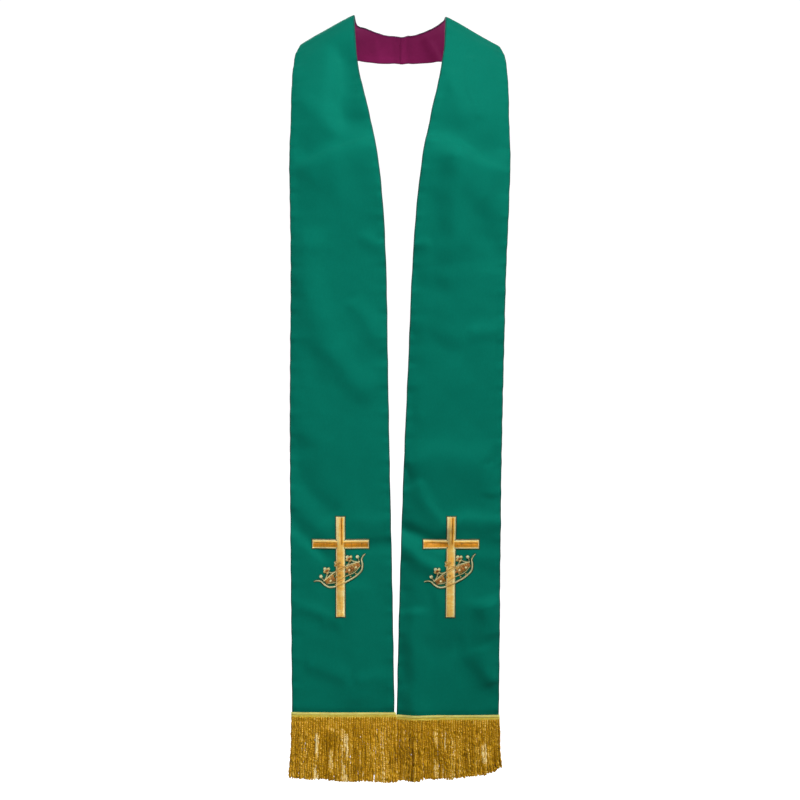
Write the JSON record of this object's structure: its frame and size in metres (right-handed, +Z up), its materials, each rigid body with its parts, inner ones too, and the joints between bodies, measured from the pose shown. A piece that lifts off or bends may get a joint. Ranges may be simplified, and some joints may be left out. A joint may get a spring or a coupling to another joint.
{
  "type": "clergy stole",
  "caption": "Long reversible stole worn round the neck, green in front and plum behind, with an embroidered cross and crown and a gold fringe on each end.",
  "frame": {"origin": "midway between the two neck points, where the stole's inner edge crosses the top of the wearer's shoulders, and where the neck and shoulders hold it up", "axes": "+Z up, -Y the way the wearer faces, +X to the wearer's left"},
  "size_m": [0.3368, 0.2343, 1.1727],
  "materials": {
    "green_satin": "matt satin weave",
    "plum_satin": "matt satin weave",
    "gold_fringe": "twisted rayon",
    "gold_thread": "glossy satin stitch"
  },
  "bodies": {
    "root": {"face_left": "green_satin", "face_right": "green_satin", "reverse_left": "plum_satin", "reverse_right": "plum_satin", "fringe_left": "gold_fringe", "fringe_right": "gold_fringe", "cross_left": "gold_thread", "cross_right": "gold_thread", "crown_left_inner": "gold_thread", "crown_left_outer": "gold_thread", "crown_right_inner": "gold_thread", "crown_right_outer": "gold_thread"}
  },
  "joints": []
}
